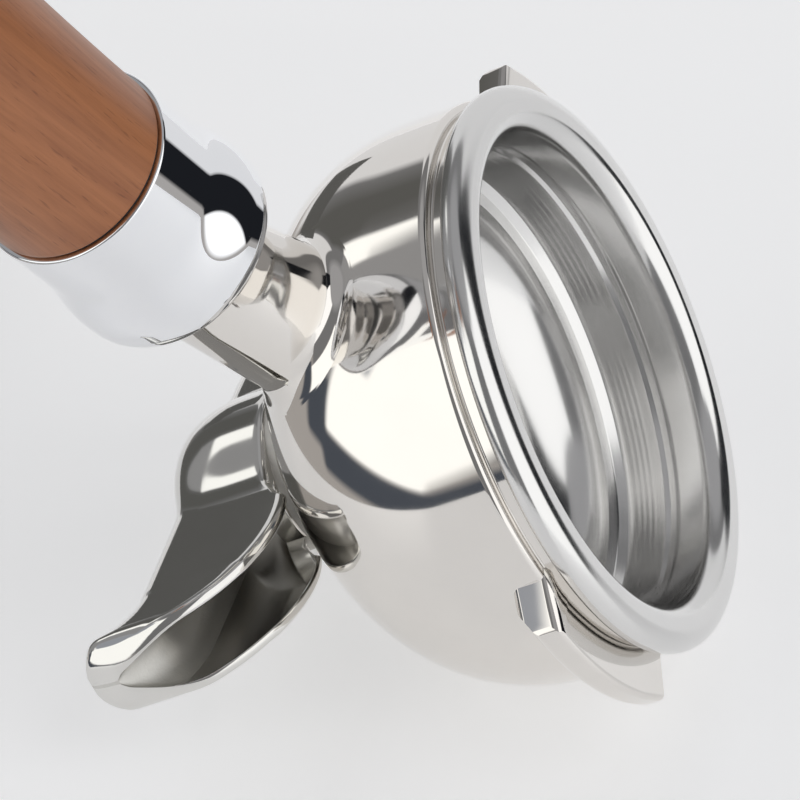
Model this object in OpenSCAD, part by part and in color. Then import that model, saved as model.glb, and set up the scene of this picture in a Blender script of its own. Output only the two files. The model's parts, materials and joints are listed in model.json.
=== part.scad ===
// Portafilter with a double open spout, a filter basket and a turned wooden handle.
// Frame: +Z is the bowl axis toward the open mouth, +X runs out along the handle,
// the origin is the centre of the basket rim's top sealing face. Units are mm.

/* [Basket] */
// outside radius of the basket's rolled rim
rim_r = 35; // [33:0.1:37]
// height of the rolled rim
rim_h = 3.4; // [2:0.1:4.5]
// radius of the rim's flat top face, at its outer edge
rim_flat_r = 32.6; // [31.5:0.1:33.5]
// depth at which the rolled rim meets the wall
lip_depth = 2.8; // [1.5:0.1:3.4]
// inside radius of the basket wall (58 mm class)
basket_in_r = 29.2; // [28.5:0.1:29.6]
// sheet thickness of the basket
basket_t = 0.8; // [0.5:0.1:1.2]
// depth of the straight wall below the rim's top face
wall_depth = 12.4; // [9:0.1:18]
// depth of the perforated floor's top face
floor_depth = 22.4; // [18:0.1:27]
// radius of the flat perforated floor
floor_r = 15.5; // [12:0.5:20]
// depth of the retaining bead's centre line
bead_depth = 6.9; // [5:0.1:9]
// how far the retaining bead stands out from the wall
bead_out = 0.3; // [0.1:0.05:0.4]
// radius of one perforation
perf_r = 0.6; // [0.3:0.05:0.9]
// rings of perforations around the centre one
perf_rings = 5; // [2:1:7]
// distance between rings of perforations
perf_pitch = 2.7; // [1.8:0.1:3.5]

/* [Body] */
// outside radius of the bowl
bowl_r = 34.6; // [33:0.1:36]
// depth at which the bowl starts to curve in
bowl_turn = 12.5; // [8:0.5:20]
// depth of the bowl's underside on the axis
bowl_depth = 39.2; // [35:0.1:45]
// roundness of the bowl (2 is an ellipse)
bowl_n = 2.25; // [1.8:0.05:2.6]
// radius of the recessed band under the rim
neck_band_r = 33.2; // [32:0.1:34.5]
// depth of the bowl's shoulder under the recessed band
shoulder_depth = 5; // [4.2:0.1:7]
// bore radius that takes the basket
bore_r = 30.6; // [30.2:0.05:31]
// wall thickness in the lower bowl
bowl_t = 3; // [2:0.1:5]
// radius of the boss under the bowl
boss_r = 9.6; // [7:0.1:11]
// depth of the boss's lower face
boss_depth = 40.2; // [40:0.1:46]

/* [Lugs] */
// radius of the lugs' outer face
lug_r = 39.8; // [38:0.1:42]
// how far the lugs reach away from the handle
lug_back = 15.4; // [10:0.1:18]
// how far the lugs' outer edge reaches toward the handle
lug_front = 10.6; // [8:0.1:18]
// slant of the lugs' handle end
lug_slant = 14; // [0:1:40]
// depth of the lugs' top face
lug_top = 4.4; // [4:0.1:8]
// how much thinner a lug is at its leading end
lug_lead = 2.6; // [0:0.1:4]
// thickness of the lugs
lug_t = 5.2; // [4:0.1:9]

/* [Handle] */
// depth of the handle's axis below the rim
handle_z = 27.6; // [18:0.1:30]
// distance from the bowl's axis to the neck's end face
neck_end = 50; // [42:0.5:60]
// radius of the neck
neck_r = 8.0; // [7:0.1:10]
// how far the neck's root sits above the handle's axis
neck_rise = 3.8; // [0:0.1:4]
// radius of the ferrule's bead
ferrule_bead_r = 13.0; // [12:0.1:15]
// length of the ferrule's bead
ferrule_bead_l = 12.6; // [5:0.1:15]
// radius of the ferrule's straight sleeve
ferrule_r = 11.9; // [11:0.1:14]
// length of the whole ferrule
ferrule_l = 23; // [14:0.1:30]
// radius of the wood where it leaves the ferrule
wood_r = 11.4; // [10:0.1:13]
// largest radius of the wood
wood_max_r = 13.8; // [12:0.1:17]
// length of the wooden grip outside the ferrule
wood_l = 112; // [90:1:140]
// nominal radius of the handle stud (M12)
stud_r = 5.9; // [4.5:0.05:6.5]

/* [Spout] */
// direction of the near spout arm, measured from the handle
spout_turn = 58; // [-90:0.5:90]
// radius of the spout's collar
collar_r = 9.8; // [8:0.1:12]
// radius of the spout's round hub
hub_r = 10.6; // [9:0.1:13]
// depth at which the hub starts to curve in
hub_turn = 46; // [44:0.5:50]
// depth of the hub's domed underside
hub_low = 57.3; // [55:0.1:60]
// half the outside width of a spout arm at its root
arm_half_w = 5.7; // [4:0.1:7]
// half the outside width of a spout arm near its tip
tip_half_w = 5.3; // [3:0.1:6]
// wall thickness of a spout arm
arm_t = 1.1; // [0.8:0.1:2]
// floor thickness of a spout arm
arm_floor_t = 2.2; // [1:0.1:3]
// depth of the arms' underside at the middle
arm_under = 54.4; // [50:0.1:58]
// radius of the rounding along an arm's underside
arm_round = 2.4; // [1:0.1:5]
// depth of the spout's lowest point
tip_depth = 60.8; // [58:0.1:70]
// distance of the arms' tips from the bowl's axis
tip_w = 38.8; // [30:0.1:45]
// length over which an arm's plan rounds off at its tip
tip_round = 4; // [3:0.1:10]
// distance of the arm's bend centre from the bowl's axis
bend_w = 29.4; // [20:0.1:32]
// radius of the underside's bend
bend_r = 6.8; // [5:0.1:12]
// distance of the trough's edge curve centre from the bowl's axis
edge_w = 20; // [15:0.5:25]
// radius of the curve that the trough's edges follow
edge_r = 18.6; // [16:0.1:24]
// depth of the centre of the trough's edge curve
edge_c = 55.8; // [50:0.1:60]

/* [Hidden] */
fine = 96;
mid = 48;
eps = 0.01;
rim_mid = 1.9;
nipple_r = 6.4;
nipple_bore = 4.2;
nipple_top = bowl_depth - bowl_t + 0.2;
nipple_low = boss_depth + 4.5;
washer_t = 1;
washer_r = collar_r + 0.3;
spring_wire = 0.65;
spring_depth = bead_depth + 2.4;
spring_mid_r = bore_r + 0.5;
collar_top = boss_depth + washer_t;
stud_in = 36;
stud_out = neck_end + ferrule_l + 20;
insert_r = 8;
insert_in = neck_end + ferrule_l - 6;
insert_out = insert_in + 24;
spigot_r = ferrule_r - 1.7;
spigot_in = neck_end + 6;
wood_in = neck_end + ferrule_l;
ring_t = 0.25;
arm_side = arm_half_w - arm_t;

// outside of the bowl at a fraction s of the way round its lower curve
function bowl_pt(s, r, z0, d, n) = [r * pow(cos(90 * s), 2 / n),
  -z0 - (d - z0) * pow(sin(90 * s), 2 / n)];

// cast bowl, bayonet lugs, neck and spout boss in one piece
module filter_holder_body() {
  color([0.78, 0.78, 0.80])
  difference() {
    union() {
      rotate_extrude($fn = fine) polygon(concat(
        [[0, -bowl_depth + 1], [0, -rim_h], [neck_band_r, -rim_h],
         [neck_band_r, -shoulder_depth + 0.2], [neck_band_r + 0.3, -shoulder_depth],
         [bowl_r - 0.7, -shoulder_depth - 0.2], [bowl_r - 0.15, -shoulder_depth - 0.7]],
        [for (i = [0 : 22]) bowl_pt(i / 23.5, bowl_r, bowl_turn, bowl_depth, bowl_n)]));
      translate([0, 0, -boss_depth]) cylinder(r = boss_r, h = 8, $fn = fine);
      lug(-1);
      mirror([0, 1, 0]) lug(1);
      neck();
    }
    bowl_hollow();
    // seat of the spout nipple
    translate([0, 0, -boss_depth - 1]) cylinder(r = nipple_r, h = boss_depth - nipple_top + 1,
      $fn = mid);
    translate([0, 0, -boss_depth - 1]) cylinder(r = nipple_bore, h = 12, $fn = mid);
    // seat of the handle stud
    translate([stud_in, 0, -handle_z]) rotate([0, 90, 0])
      cylinder(r = stud_r, h = 40, $fn = mid);
  }
}

// inside of the bowl: bore, groove for the spring, and the curved drain floor
module bowl_hollow() {
  low = bowl_depth - bowl_t;
  rotate_extrude($fn = fine) polygon(concat(
    [[0, -low], [0, 1], [bore_r, 1], [bore_r, -spring_depth + 0.95],
     [spring_mid_r + 0.7, -spring_depth + 0.95], [spring_mid_r + 0.7, -spring_depth - 0.95],
     [bore_r, -spring_depth - 0.95]],
    [for (i = [0 : 16]) bowl_pt(i / 17, bore_r, bowl_turn + 4, low, 2)]));
}

// one bayonet lug on the +Y side; lead is -1 or 1, the end whose underside is relieved
module lug(lead) {
  out_y = lug_r - 1.4;
  difference() {
    intersection() {
      translate([0, 0, -lug_top - lug_t]) rotate_extrude($fn = fine) polygon([
        [30, 0], [lug_r - 4.6, 0], [lug_r - 1, 1.6], [lug_r, 2.8], [lug_r, lug_t - 0.5],
        [lug_r - 0.5, lug_t], [30, lug_t]]);
      linear_extrude(height = 60, center = true) polygon([[-lug_back, 28], [-lug_back, 44],
        [lug_front - (44 - out_y) * tan(lug_slant), 44],
        [lug_front + (out_y - 28) * tan(lug_slant), 28]]);
    }
    // relieved underside at the leading end
    translate([lead * (lug_back - 10), 30, -lug_top - lug_t])
      rotate([0, -lead * atan(lug_lead / 10), 0]) translate([-20, 0, -8]) cube([40, 20, 8]);
  }
}

// neck: a round bar that leaves the bowl a little above the handle's axis
module neck() {
  root = 26;
  run = neck_end - 4 - root;
  lean = atan(neck_rise / run);
  translate([neck_end - 6, 0, -handle_z]) rotate([0, 90, 0])
    cylinder(r = neck_r, h = 6, $fn = fine);
  translate([neck_end - 5, 0, -handle_z]) rotate([0, -90 + lean, 0])
    cylinder(r1 = neck_r, r2 = neck_r + 0.9, h = run + 1, $fn = fine);
}

// stamped basket with a rolled rim, a retaining bead, a dished shoulder and holes
module filter_basket() {
  ri = basket_in_r;
  t = basket_t;
  color([0.72, 0.72, 0.73])
  difference() {
    rotate_extrude($fn = fine) polygon(concat(
      // rolled rim, from its inner lip over the flat top to the outside and under
      [for (i = [0 : 6]) [ri + 2.1 - 2.1 * cos(15 * i), -lip_depth + lip_depth * sin(15 * i)]],
      [for (i = [0 : 6]) [rim_flat_r + (rim_r - rim_flat_r) * sin(15 * i),
        -rim_mid + rim_mid * cos(15 * i)]],
      [for (i = [1 : 4]) [rim_r - 1.4 + 1.4 * cos(22.5 * i),
        -rim_mid - (rim_h - rim_mid) * sin(22.5 * i)]],
      [[ri + t, -rim_h]],
      // outside of the wall with the bead
      [[ri + t, -bead_depth + 1], [ri + t + bead_out, -bead_depth + 0.4],
       [ri + t + bead_out, -bead_depth - 0.4], [ri + t, -bead_depth - 1]],
      dish_side(ri + t, wall_depth + 0.1, floor_depth + t, floor_r + t / 2),
      [[0, -floor_depth - t], [0, -floor_depth]],
      reverse(dish_side(ri, wall_depth, floor_depth, floor_r)),
      [[ri, -bead_depth - 1], [ri + bead_out, -bead_depth - 0.4],
       [ri + bead_out, -bead_depth + 0.4], [ri, -bead_depth + 1]]));
    for (k = [0 : perf_rings]) for (j = [0 : max(0, 6 * k - 1)])
      rotate([0, 0, k == 0 ? 0 : 60 * j / k]) translate([k * perf_pitch, 0, -floor_depth - 2])
        cylinder(r = perf_r, h = 4, $fn = 16);
  }
}

function reverse(v) = [for (i = [len(v) - 1 : -1 : 0]) v[i]];

// side of the basket from the straight wall through the ledge to the flat floor
function dish_side(r, d0, d1, rf) = concat([[r, -d0], [r - 0.5, -d0 - 0.9],
  [r - 1.3, -d0 - 1.6], [r - 2.2, -d0 - 2.1]],
  [for (i = [1 : 8]) let(a = 90 * i / 8)
    [r - 2.2 - (r - 2.2 - rf) * (1 - cos(a)), -d0 - 2.1 - (d1 - d0 - 2.1) * sin(a)]]);

// open wire ring that grips the basket from its groove in the body
module basket_spring() {
  color([0.62, 0.63, 0.65])
  translate([0, 0, -spring_depth]) rotate([0, 0, 20])
    rotate_extrude(angle = 325, $fn = fine) translate([spring_mid_r, 0])
      circle(r = spring_wire, $fn = 24);
}

// hollow threaded nipple that joins the spout to the bowl
module spout_nipple() {
  color([0.74, 0.66, 0.45])
  difference() {
    translate([0, 0, -nipple_low]) cylinder(r = nipple_r, h = nipple_low - nipple_top, $fn = mid);
    translate([0, 0, -nipple_low - 1]) cylinder(r = nipple_bore, h = 30, $fn = mid);
  }
}

// flat seal between the bowl's boss and the spout
module spout_washer() {
  color([0.90, 0.89, 0.85])
  translate([0, 0, -boss_depth - washer_t]) difference() {
    cylinder(r = washer_r, h = washer_t, $fn = mid);
    translate([0, 0, -1]) cylinder(r = nipple_r + 0.1, h = 4, $fn = mid);
  }
}

// side view of what both arms keep: x is the distance from the axis, y is the height
edge_low = asin((edge_c - tip_depth + 3.4) / edge_r);
function edge_side() = concat([[collar_r - 1, -collar_top - 1], [12, -collar_top + 0.5],
  [15.5, -edge_c + edge_r - 1.0]],
  [for (i = [0 : 18]) let(a = 90 - (90 - edge_low) * i / 18)
    [edge_w + edge_r * cos(a), -edge_c + edge_r * sin(a)]],
  [[edge_w + edge_r - 0.3, -tip_depth + 2], [edge_w + edge_r - 0.9, -tip_depth + 0.8],
   [edge_w + edge_r - 2, -tip_depth], [edge_w + edge_r - 8, -tip_depth]]);
module arm_side_view() {
  right = edge_side();
  polygon(concat(right, [for (i = [len(right) - 1 : -1 : 0]) [-right[i][0], right[i][1]]]));
}

// section of an arm: its rounded underside starts at height lift, its walls go up
function u_section(half, lift, r) = concat(
  [for (i = [0 : 6]) [lift + r - r * cos(15 * i), half - r + r * sin(15 * i)]],
  [[lift + 40, half], [lift + 40, -half]],
  [for (i = [0 : 6]) [lift + r - r * sin(15 * i), r - half - r * cos(15 * i)]]);

// the straight run through the middle with the given section
module arm_run(half, lift, r, past) {
  translate([-bend_w - past, 0, -arm_under]) rotate([90, 0, 90])
    linear_extrude(height = 2 * (bend_w + past)) rotate([0, 0, 90])
      polygon(u_section(half, lift, r));
}

// the downward bend of the arm at +x with the given section
module arm_bend(half, lift, r) {
  translate([bend_w, 0, -arm_under - bend_r]) rotate([-90, 0, 0]) rotate([0, 0, -90])
    rotate_extrude(angle = 130, $fn = fine) translate([bend_r, 0])
      polygon(u_section(half, lift, r));
}

// plan view of both arms: sides that draw in, and a rounded tip where tip is true
module arm_plan(inset, tip) {
  c = tip_w - tip_round;
  half = concat([[0, arm_half_w - inset], [c, tip_half_w - inset]], tip
    ? [for (i = [1 : 9]) [c + tip_round * sin(10 * i), tip_half_w * cos(10 * i)]]
    : [[60, tip_half_w - inset], [60, 0]]);
  k = len(half) - 1;
  polygon(concat(half, [for (i = [k - 1 : -1 : 0]) [half[i][0], -half[i][1]]],
    [for (i = [1 : k]) [-half[i][0], -half[i][1]]], [for (i = [k - 1 : -1 : 1])
    [-half[i][0], half[i][1]]]));
}

// what the side and plan views leave of both arms
module arm_limits() {
  intersection() {
    rotate([90, 0, 0]) linear_extrude(height = 30, center = true) arm_side_view();
    translate([0, 0, -90]) linear_extrude(height = 80) arm_plan(0, true);
  }
}

// middle of the spout: domed hub, the arms' straight run and the trough under its roof
module spout_middle() {
  difference() {
    union() {
      rotate_extrude($fn = fine) polygon(concat([[0, -collar_top], [0, -hub_low]],
        [for (i = [22 : -1 : 0]) bowl_pt(i / 23.5, hub_r, hub_turn, hub_low, bowl_n)],
        [[hub_r, -collar_top - 0.9], [hub_r - 0.3, -collar_top - 0.2], [collar_r, -collar_top]]));
      intersection() {
        arm_run(arm_half_w, 0, arm_round, 0);
        arm_limits();
      }
    }
    difference() {
      intersection() {
        arm_run(arm_side, arm_floor_t, arm_side - 0.6, 1);
        translate([0, 0, -90]) linear_extrude(height = 80) arm_plan(arm_t, false);
      }
      translate([0, 0, -collar_top - 3]) cylinder(r = hub_r, h = 30, $fn = fine);
    }
    translate([0, 0, -nipple_low]) cylinder(r = nipple_r + 0.05, h = 20, $fn = mid);
  }
}

// outer end of the arm at +x: the bend, open above
module spout_end() {
  difference() {
    intersection() {
      arm_bend(arm_half_w, 0, arm_round);
      arm_limits();
    }
    intersection() {
      arm_bend(arm_side, arm_floor_t, arm_side - 0.6);
      translate([0, 0, -90]) linear_extrude(height = 80) arm_plan(arm_t, false);
    }
  }
}

// double open spout with its threaded collar
module double_spout() {
  color([0.76, 0.76, 0.78])
  rotate([0, 0, spout_turn]) {
    spout_middle();
    spout_end();
    rotate([0, 0, 180]) spout_end();
  }
}

// threaded stud from the neck into the grip
module handle_stud() {
  color([0.66, 0.66, 0.68])
  translate([stud_in, 0, -handle_z]) rotate([0, 90, 0]) {
    cylinder(r = stud_r, h = stud_out - stud_in - 0.8, $fn = mid);
    translate([0, 0, stud_out - stud_in - 0.8 - eps])
      cylinder(r1 = stud_r, r2 = stud_r - 0.8, h = 0.8 + eps, $fn = mid);
  }
}

// thin washer between the neck's end face and the ferrule
module neck_washer() {
  color([0.20, 0.20, 0.21])
  translate([neck_end, 0, -handle_z]) rotate([0, 90, 0]) difference() {
    cylinder(r = neck_r - 0.3, h = 1, $fn = mid);
    translate([0, 0, -1]) cylinder(r = stud_r + 0.15, h = 4, $fn = mid);
  }
}

// polished ferrule: bead at the neck end, straight sleeve toward the wood
module ferrule() {
  b = ferrule_bead_l;
  R = ferrule_bead_r;
  color([0.80, 0.80, 0.82])
  translate([neck_end + 1, 0, -handle_z]) rotate([0, 90, 0]) rotate_extrude($fn = fine)
    polygon(concat([[stud_r + 0.15, 0], [R - 3.2, 0]],
      [for (i = [1 : 6]) [R - 3.2 + 3.2 * sin(15 * i), 3.2 - 3.2 * cos(15 * i)]],
      [for (i = [1 : 12]) let(u = i / 12)
        [R - (R - ferrule_r) * (0.5 - 0.5 * cos(180 * u)), 4.6 + (b - 4.6) * u]],
      [[ferrule_r, ferrule_l - 1.4], [ferrule_r - 0.3, ferrule_l - 1],
       [spigot_r + 0.05, ferrule_l - 1], [spigot_r + 0.05, spigot_in - neck_end - 1],
       [stud_r + 0.15, spigot_in - neck_end - 1]]));
}

// dark seat ring between the ferrule's lip and the wood's shoulder
module ferrule_seat_ring() {
  color([0.12, 0.12, 0.12])
  translate([wood_in, 0, -handle_z]) rotate([0, 90, 0]) difference() {
    cylinder(r = wood_r - 0.4, h = ring_t, $fn = fine);
    translate([0, 0, -1]) cylinder(r = spigot_r + 0.05, h = 3, $fn = fine);
  }
}

// brass insert that gives the wood its thread
module threaded_insert() {
  color([0.78, 0.64, 0.35])
  translate([insert_in, 0, -handle_z]) rotate([0, 90, 0]) difference() {
    cylinder(r = insert_r, h = insert_out - insert_in, $fn = mid);
    translate([0, 0, -1]) cylinder(r = stud_r, h = 60, $fn = mid);
  }
}

// turned grip with a spigot inside the ferrule
module wood_handle() {
  L = wood_l - ring_t;
  s = spigot_in - wood_in - ring_t;
  color([0.59, 0.38, 0.26])
  translate([wood_in + ring_t, 0, -handle_z]) rotate([0, 90, 0]) difference() {
    rotate_extrude($fn = fine) polygon(concat([[0, s + 0.2], [spigot_r - 0.5, s + 0.2],
      [spigot_r, s + 0.7], [spigot_r, 0], [wood_r - 0.5, 0], [wood_r - 0.1, 0.3]],
      [for (i = [0 : 24]) let(u = i / 24)
        [wood_r + (wood_max_r - wood_r) * (0.5 - 0.5 * cos(180 * pow(u, 0.8))),
         1 + (L - 15) * u]],
      [for (i = [1 : 10]) [wood_max_r * cos(9 * i), L - 14 + 14 * sin(9 * i)]]));
    // seat of the insert, then clearance for the stud's end
    translate([0, 0, s - 1]) cylinder(r = stud_r + 0.3, h = stud_out - spigot_in + 3, $fn = mid);
    translate([0, 0, insert_in - wood_in - ring_t]) cylinder(r = insert_r,
      h = insert_out - insert_in, $fn = mid);
  }
}

filter_holder_body();
filter_basket();
basket_spring();
spout_nipple();
spout_washer();
double_spout();
handle_stud();
neck_washer();
ferrule();
ferrule_seat_ring();
threaded_insert();
wood_handle();
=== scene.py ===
"""Portafilter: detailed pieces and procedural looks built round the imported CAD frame."""

import json
import math

import bmesh
import bpy
import numpy as np
from mathutils import Matrix, Vector

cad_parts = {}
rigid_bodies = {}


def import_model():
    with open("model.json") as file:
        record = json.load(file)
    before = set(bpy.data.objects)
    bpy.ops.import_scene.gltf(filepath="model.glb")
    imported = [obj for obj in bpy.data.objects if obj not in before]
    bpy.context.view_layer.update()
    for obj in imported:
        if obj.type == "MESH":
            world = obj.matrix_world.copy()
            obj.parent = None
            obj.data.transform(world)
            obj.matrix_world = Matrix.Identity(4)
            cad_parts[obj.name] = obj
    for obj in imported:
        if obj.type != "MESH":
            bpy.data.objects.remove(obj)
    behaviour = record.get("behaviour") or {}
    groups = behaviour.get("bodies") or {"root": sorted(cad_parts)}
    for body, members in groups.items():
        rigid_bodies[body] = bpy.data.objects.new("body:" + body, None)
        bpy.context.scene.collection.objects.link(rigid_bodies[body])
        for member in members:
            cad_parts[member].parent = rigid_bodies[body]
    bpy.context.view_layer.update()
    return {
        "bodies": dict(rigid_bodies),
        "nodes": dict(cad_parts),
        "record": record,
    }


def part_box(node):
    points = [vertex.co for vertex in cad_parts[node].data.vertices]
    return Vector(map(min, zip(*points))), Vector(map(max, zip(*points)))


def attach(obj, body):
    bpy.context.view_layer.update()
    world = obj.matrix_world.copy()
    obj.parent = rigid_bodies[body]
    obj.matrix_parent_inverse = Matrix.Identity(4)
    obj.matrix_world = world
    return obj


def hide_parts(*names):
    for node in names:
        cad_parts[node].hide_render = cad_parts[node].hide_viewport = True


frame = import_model()
NODES = frame["nodes"]
MM = 0.001

# ---------------------------------------------------------------- dimensions, mm


def cad(node):
    """Lowest and highest corner of a CAD node, in mm."""
    return [[c / MM for c in corner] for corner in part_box(node)]


# basket: rolled rim, wall with its bead, and the flat floor with its holes
RIM_R = cad("filter_basket")[1][0]
RIM_H = 3.4
RIM_MID = 1.9
RIM_FLAT_R = 32.6
LIP_DEPTH = 2.8
LIP_W = 2.1
BASKET_R = 29.2
SHEET = 0.8
BEAD_DEPTH = 6.9
BEAD_OUT = 0.3
RIDGES_TOP = 9.0
RIDGES_LOW = 12.0
RIDGE_PITCH = 0.75
RIDGE_H = 0.012
WALL_DEPTH = 12.4
SHELF_H = 2.1
SHELF_W = 2.2
FLOOR_DEPTH = 22.4
FLOOR_R = 15.5
PERF_R = 0.6
PERF_RINGS = 5
PERF_PITCH = 2.7

# bowl: band under the rim, superelliptic outside, bore and boss
BAND_R = 33.2
SHOULDER = 5.0
BOWL_R = 34.6
BOWL_TURN = 12.5
BOWL_DEPTH = 39.2
BOWL_N = 2.25
BORE_R = 30.6
CAVITY_DEPTH = BOWL_DEPTH - 3
GROOVE_Z = BEAD_DEPTH + 2.4
GROOVE_R = BORE_R + 1.2
GROOVE_HALF = 0.95
BOSS_R = 9.6
BOSS_FOOT = BOSS_R + 1.6
BOSS_DEPTH = -cad("filter_holder_body")[0][2]

# bayonet lugs
LUG_R = cad("filter_holder_body")[1][1]
LUG_ROOT = BAND_R - 1.4
LUG_TOP = 4.4
LUG_T = 5.2
LUG_BACK = 15.4
LUG_FRONT = 10.6
LUG_SLANT = math.radians(14)
LUG_LEAD = 2.6
LUG_RAMP = 10.0
LUG_HALF_TURN = 0.62

# neck: it leans up toward the bowl once past its bend, and flares at its root
HANDLE_Z = 27.6
NECK_END = cad("filter_holder_body")[1][0]
NECK_R = 8.0
NECK_EDGE = 0.5
NECK_BEND = 45.0
NECK_LEAN = 0.19
NECK_TAPER = 0.045
NECK_CREASE = 1.5
NECK_FLARE = 2.4
FLARE_LEAN = math.radians(24)

# ferrule, stud and insert
FERRULE_X = cad("ferrule")[0][0]
FERRULE_END = cad("ferrule")[1][0]
BEAD_R = cad("ferrule")[1][1]
BEAD_L = 12.6
NOSE_R = 3.2
NOSE_FLAT = 1.4
SLEEVE_R = 11.9
SPIGOT_R = SLEEVE_R - 1.7
STUD_R = 5.9
STUD_END = cad("handle_stud")[1][0]
INSERT_X = [corner[0] for corner in cad("threaded_insert")]
INSERT_R = 8.0

# grip
SPIGOT_X = cad("wood_handle")[0][0]
WOOD_X = cad("ferrule_seat_ring")[1][0]
WOOD_END = cad("wood_handle")[1][0]
WOOD_R = 11.4
WOOD_MAX_R = cad("wood_handle")[1][1]
DOME = 14.0

# spout: domed hub, straight arms, their downward bends and the curve that trims their edges
SPOUT_TURN = math.radians(58)
HUB_R = 10.6
HUB_TURN = 46.0
HUB_LOW = 57.3
HUB_FILLET = 5.0
COLLAR_TOP = 41.2
COLLAR_H = 3.0
NIPPLE_R = 6.5
ARM_W = 5.7
TIP_W = 5.3
ARM_WALL = 1.5
ARM_THINNING = 0.3
ARM_FLOOR = 2.2
TIP_FLOOR = 1.1
ARM_UNDER = 54.4
ARM_ROUND = 2.4
TROUGH_ROUND = 3.8
BEND_W = 29.4
BEND_R = 6.8
TIP_DEPTH = -cad("double_spout")[0][2]
TIP_REACH = 38.8
TIP_ROUND = 3.0
TONGUE = 3.4
EDGE_W = 20.0
EDGE_R = 18.6
EDGE_C = 55.8
ROOT_W = 15.5

# points in the spout's section: underside, flank, each rounded corner and the trough's side
UNDER_POINTS = 24
FLANK_POINTS = 6
CORNER_STEPS = 5
TROUGH_POINTS = 12

# rings of the bend: how many, where the trough's floor starts and ends its rise, and where the
# tip starts to close
BEND_RINGS = 26
RISE_FROM = 8
RISE_TO = 18
CLOSE_FROM = 22

# the view: part axes seen from the camera, the part's place in front of it, and how far the
# camera looks down at the table
UP_AXIS = Vector((0.8645, 0.3004, 0.403)).normalized()
OUT_AXIS = Vector((-0.498, 0.404, 0.7673))
PLACE = Vector((24.51, 4.36, -600.0))
LENS = 230.0
SENSOR = 36.0
CAMERA_PITCH = math.radians(31.6)
TABLE_GLOW = 0.38
FLOOR_GAP = 0.0001

# the dark card: the point of the flank it is for, in mm, where that point mirrors it, and how
# far off it is and half its size, in metres
FLANK_OUT = 21.0
FLANK_Z = -49.0
FLAG_AZIMUTH = math.radians(-159)
FLAG_ELEVATION = math.radians(9)
FLAG_AWAY = 0.2
FLAG_HALF_W = 0.036
FLAG_HALF_H = 0.023


def clear_scene():
    """Removes the start-up cube, camera and light, and keeps the frame."""
    kept = set(NODES.values()) | set(frame["bodies"].values())
    for o in list(bpy.data.objects):
        if o not in kept:
            bpy.data.objects.remove(o, do_unlink=True)


# ---------------------------------------------------------------- shapes
# A shape is a pair: an array of points in mm, and a list of faces.


def rounded(points, steps=6):
    """Polyline through (x, y, radius) points, each inner corner rounded by its radius."""
    out = []
    for i, (x, y, radius) in enumerate(points):
        p = Vector((x, y))
        if radius == 0 or i in (0, len(points) - 1):
            out.append((x, y))
            continue
        a = (Vector(points[i - 1][:2]) - p).normalized()
        b = (Vector(points[i + 1][:2]) - p).normalized()
        half = a.angle(b) / 2
        centre = p + (a + b).normalized() * (radius / math.sin(half))
        start = p + a * (radius / math.tan(half)) - centre
        end = p + b * (radius / math.tan(half)) - centre
        sweep = math.pi - 2 * half
        for k in range(steps + 1):
            t = k / steps
            v = (start * math.sin((1 - t) * sweep) + end * math.sin(t * sweep)) / math.sin(sweep)
            out.append(tuple(centre + v))
    return out


def revolve(profile, segments=256):
    """Closed (radius, height) profile turned about the Z axis."""
    points, rings = [], []
    turn = 2 * math.pi * np.arange(segments) / segments
    for r, z in profile:
        if r < 1e-6:
            rings.append([len(points)])
            points.append((0, 0, z))
        else:
            rings.append(list(range(len(points), len(points) + segments)))
            points.extend(zip(r * np.cos(turn), r * np.sin(turn), [z] * segments))
    faces = []
    for a, b in zip(rings, rings[1:] + rings[:1]):
        if len(a) == len(b) == 1:
            continue
        for k in range(segments):
            n = (k + 1) % segments
            face = [a[k % len(a)], a[n % len(a)], b[n % len(b)], b[k % len(b)]]
            faces.append(list(dict.fromkeys(face)))
    return np.array(points), faces


def about_handle(shape):
    """A shape made about Z, laid along the handle's axis with its height as X."""
    points, faces = shape
    x, y, z = points.T
    return np.stack([z, y, -x - HANDLE_Z], axis=1), faces


def loft(rings, capped=True):
    """Skin over a row of closed rings that have the same number of points."""
    n = len(rings[0])
    faces = []
    for i in range(len(rings) - 1):
        for k in range(n):
            m = (k + 1) % n
            faces.append([i * n + k, i * n + m, (i + 1) * n + m, (i + 1) * n + k])
    if capped:
        faces.append(list(range(n)))
        faces.append(list(range((len(rings) - 1) * n, len(rings) * n)))
    return np.concatenate(rings), faces


def join(*shapes):
    """One shape out of several."""
    points, faces, first = [], [], 0
    for p, f in shapes:
        points.append(np.asarray(p))
        faces.extend([[v + first for v in face] for face in f])
        first += len(p)
    return np.concatenate(points), faces


def outward(shape):
    """The shape with every face turned outward."""
    bm = bmesh.new()
    verts = [bm.verts.new(p) for p in shape[0]]
    for face in shape[1]:
        bm.faces.new([verts[v] for v in face])
    bmesh.ops.recalc_face_normals(bm, faces=bm.faces)
    return from_bmesh(bm)


def from_bmesh(bm):
    """The shape held by a bmesh, which is freed."""
    bm.verts.index_update()
    points = np.array([v.co[:] for v in bm.verts])
    faces = [[v.index for v in f.verts] for f in bm.faces]
    bm.free()
    return points, faces


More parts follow.
